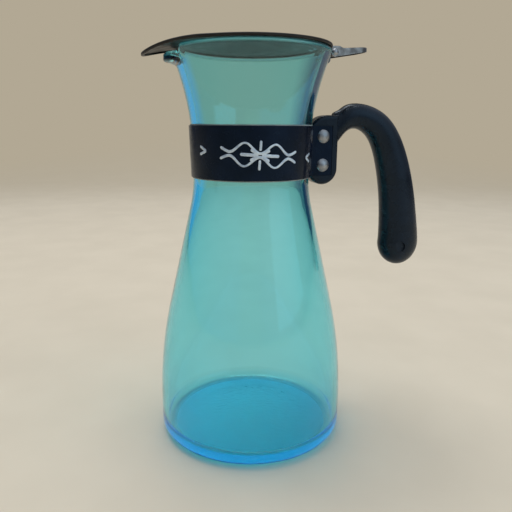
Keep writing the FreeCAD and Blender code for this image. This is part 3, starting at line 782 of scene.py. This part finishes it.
def flat_ribbons(tree, given):
    """The strokes with a round section, leaning as the motif does."""
    section = node(tree, "GeometryNodeCurvePrimitiveCircle", {
        "Resolution": STROKE_SIDES, "Radius": 1.0}, mode="RADIUS")
    standing = node(tree, "GeometryNodeSetCurveNormal", {"Curve": given["Geometry"]}, mode="Z_UP")
    ribbon = node(tree, "GeometryNodeCurveToMesh", {
        "Curve": standing.outputs[0], "Profile Curve": section.outputs[0], "Fill Caps": True,
        "Scale": node(tree, "GeometryNodeInputRadius", {}).outputs[0]})
    leaning = node(tree, "GeometryNodeTransform", {
        "Geometry": ribbon.outputs[0], "Rotation": joined(tree, z=given["Tilt"])})
    return leaning.outputs[0]


def wrapped_on_strap(tree, given, geometry):
    """Flat ribbons laid round the tapered strap, cut down to their low rise."""
    place = parts_of(tree, position(tree))
    height = maths(tree, "ADD", place["Y"], given["Middle Height"])
    radius = ranged(tree, height, (given["Low Height"], given["High Height"]),
                    (given["Low Radius"], given["High Radius"]), clamp=False)
    turn = maths(tree, "ADD", maths(tree, "DIVIDE", place["X"], radius), given["Turn"])
    rise = node(tree, "ShaderNodeClamp", {"Value": place["Z"], "Min": 0.0, "Max": given["Stroke Rise"]})
    out_to = maths(tree, "ADD", radius, rise.outputs[0])
    wrapped = joined(tree, product(tree, out_to, maths(tree, "SINE", turn)),
                     product(tree, out_to, maths(tree, "COSINE", turn), -1.0), height)
    made = node(tree, "GeometryNodeSetPosition", {"Geometry": geometry, "Position": wrapped})
    return made.outputs[0]


def wrap_tree(material, names):
    """A node tree that wraps flat strokes on the near side of the strap, and mirrors them to the far side."""
    tree, given, out = new_tree("wrap_on_strap", names)
    near = wrapped_on_strap(tree, given, flat_ribbons(tree, given))
    mirrored = node(tree, "GeometryNodeTransform", {"Geometry": near, "Scale": (1, -1, 1)})
    far = node(tree, "GeometryNodeFlipFaces", {"Mesh": mirrored.outputs[0]})
    both = node(tree, "GeometryNodeJoinGeometry", {})
    tree.links.new(near, both.inputs[0])
    tree.links.new(far.outputs[0], both.inputs[0])
    tree.links.new(painted(tree, both.outputs[0], material), out.inputs[0])
    return tree


def strap_radius(level):
    """The strap's radius at one of its edges, measured opposite the handle."""
    points = (vertex.co for vertex in frame["nodes"]["neck_band"].data.vertices)
    return -min(point.x for point in points if abs(point.z - level) < STRAP_EDGE_REACH * MM)


def band_ornament():
    """The silver star-and-wave motif on both sides of the strap."""
    low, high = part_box("neck_band")
    values = {
        "Stroke Rise": STROKE_RISE * MM,
        "Low Radius": strap_radius(low.z),
        "High Radius": strap_radius(high.z),
        "Low Height": low.z,
        "High Height": high.z,
        "Middle Height": (low.z + high.z) / 2 - MOTIF_DROP * MM,
        "Turn": MOTIF_TURN,
        "Tilt": MOTIF_TILT,
    }
    piece = made_mesh(flat_motif(), wrap_tree(silver_inlay(), values), values)
    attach(piece, "pitcher")


# Studio

def sheet(name, points, faces, material, seen_through=True):
    """One plain sheet of the studio, turned to face the camera."""
    mesh = bpy.data.meshes.new(name)
    mesh.from_pydata(points, [], faces)
    mesh.transform(Matrix.Rotation(-CAMERA_SWING, 4, "Z"))
    mesh.shade_smooth()
    mesh.materials.append(material)
    made = bpy.data.objects.new(name, mesh)
    bpy.context.scene.collection.objects.link(made)
    made.visible_transmission = seen_through


def stage():
    """A wide pale floor, and the same paper bent up off its far edge as a backdrop."""
    paper = stage_paper()
    far = FLOOR_SIDE / 2
    corners = [(-far, -far), (far, -far), (far, PAPER_START), (-far, PAPER_START)]
    sheet("floor", [(x, y, -FOOT_GAP) for x, y in corners], [(0, 1, 2, 3)], paper)
    turns = [math.pi / 2 * index / PAPER_STEPS for index in range(PAPER_STEPS + 1)]
    rows = [(PAPER_START + PAPER_BEND * math.sin(turn), PAPER_BEND * (1 - math.cos(turn)) - FOOT_GAP)
            for turn in turns]
    rows.append((PAPER_START + PAPER_BEND, PAPER_TOP))
    points = [(side * PAPER_WIDTH / 2, y, z) for y, z in rows for side in (-1, 1)]
    faces = [(2 * i, 2 * i + 1, 2 * i + 3, 2 * i + 2) for i in range(len(rows) - 1)]
    sheet("backdrop", points, faces, paper, seen_through=False)


def lamp(name, place, target, size, power, colour, mirrored):
    """One soft rectangular lamp, out of the camera's sight."""
    data = bpy.data.lights.new(name, "AREA")
    data.shape = "RECTANGLE"
    data.size, data.size_y = size
    data.energy = power
    data.color = colour
    made = bpy.data.objects.new(name, data)
    made.location = place
    made.rotation_euler = (Vector(target) - Vector(place)).to_track_quat("-Z", "Y").to_euler()
    made.visible_camera = False
    made.visible_glossy = mirrored
    bpy.context.scene.collection.objects.link(made)


def world():
    """Soft fill from above, dim at eye level, with a soft glow for what shines.

    What is seen straight is the pale colour of the surroundings. So is what is seen through the
    clear wall, but for the zones that give its edges their cool and dark lines.
    """
    made = bpy.data.worlds.new("studio")
    made.use_nodes = True
    tree = made.node_tree
    direction = node(tree, "ShaderNodeTexCoord", {}).outputs["Generated"]
    turned = node(tree, "ShaderNodeVectorRotate", {
        "Vector": direction, "Angle": CAMERA_SWING}, rotation_type="Z_AXIS").outputs[0]
    part = parts_of(tree, turned)
    path = node(tree, "ShaderNodeLightPath", {}).outputs
    fill = blended(tree, ranged(tree, part["Z"], FILL_RISE), FILL_LEVEL, FILL_ABOVE)
    towards = node(tree, "ShaderNodeVectorMath", {0: turned, 1: GLOW_WAY}, operation="DOT_PRODUCT")
    near = maths(tree, "POWER", ranged(tree, towards.outputs["Value"], GLOW_SPREAD), GLOW_FALL)
    lit = blended(tree, product(tree, near, path["Is Glossy Ray"]), fill, GLOW_COLOUR)
    seen = maths(tree, "MAXIMUM", path["Is Camera Ray"], path["Is Transmission Ray"])
    colour = blended(tree, seen, lit, SURROUNDINGS)
    for axis, ends, zone in SEEN_ZONES:
        share = product(tree, ranged(tree, part[axis], ends), path["Is Transmission Ray"])
        colour = blended(tree, share, colour, zone)
    tree.links.new(colour, tree.nodes["Background"].inputs["Color"])
    bpy.context.scene.world = made


def camera():
    """The photograph's own view: its place, its turn and its focal length."""
    right = Vector((math.cos(CAMERA_YAW), -math.sin(CAMERA_YAW), 0))
    level = Vector((math.sin(CAMERA_YAW), math.cos(CAMERA_YAW), 0))
    up = Vector((0, 0, 1))
    forward = math.cos(CAMERA_PITCH) * level - math.sin(CAMERA_PITCH) * up
    down = -math.cos(CAMERA_PITCH) * up - math.sin(CAMERA_PITCH) * level
    held_right = math.cos(CAMERA_ROLL) * right - math.sin(CAMERA_ROLL) * down
    held_down = math.sin(CAMERA_ROLL) * right + math.cos(CAMERA_ROLL) * down
    axes = Matrix((held_right, -held_down, -forward)).transposed().to_4x4()
    place = Matrix.Translation((0, -CAMERA_DISTANCE, CAMERA_HEIGHT))
    data = bpy.data.cameras.new("camera")
    data.sensor_width = SENSOR
    data.lens = SENSOR * FOCAL_PIXELS / IMAGE_SIDE
    data.clip_start = NEAR_CLIP
    made = bpy.data.objects.new("camera", data)
    made.matrix_world = Matrix.Rotation(-CAMERA_SWING, 4, "Z") @ place @ axes
    bpy.context.scene.collection.objects.link(made)
    bpy.context.scene.camera = made


def dress(finishes):
    """Give each node of the frame its finish."""
    for material, names in finishes:
        for name in names:
            mesh = frame["nodes"][name].data
            mesh.materials.clear()
            mesh.materials.append(material)


dress((
    (blue_black_enamel(), ["neck_band"]),
    (dark_lid(), ["lid_cover"]),
    (pale_vinyl(), ["band_liner"]),
    (black_moulding(), ["handle_grip"]),
    (polished_steel(), ["rim_clip", "thumb_lever"]),
    (rivet_metal(), ["handle_rivet_upper", "handle_rivet_lower", "hinge_pin",
                     "lever_rivet_left", "lever_rivet_right"]),
))
waisted_vessel(turquoise_vessel())
band_ornament()
stage()
world()
for settings in LAMPS:
    lamp(*settings)
camera()
bpy.context.scene.view_settings.view_transform = "Standard"
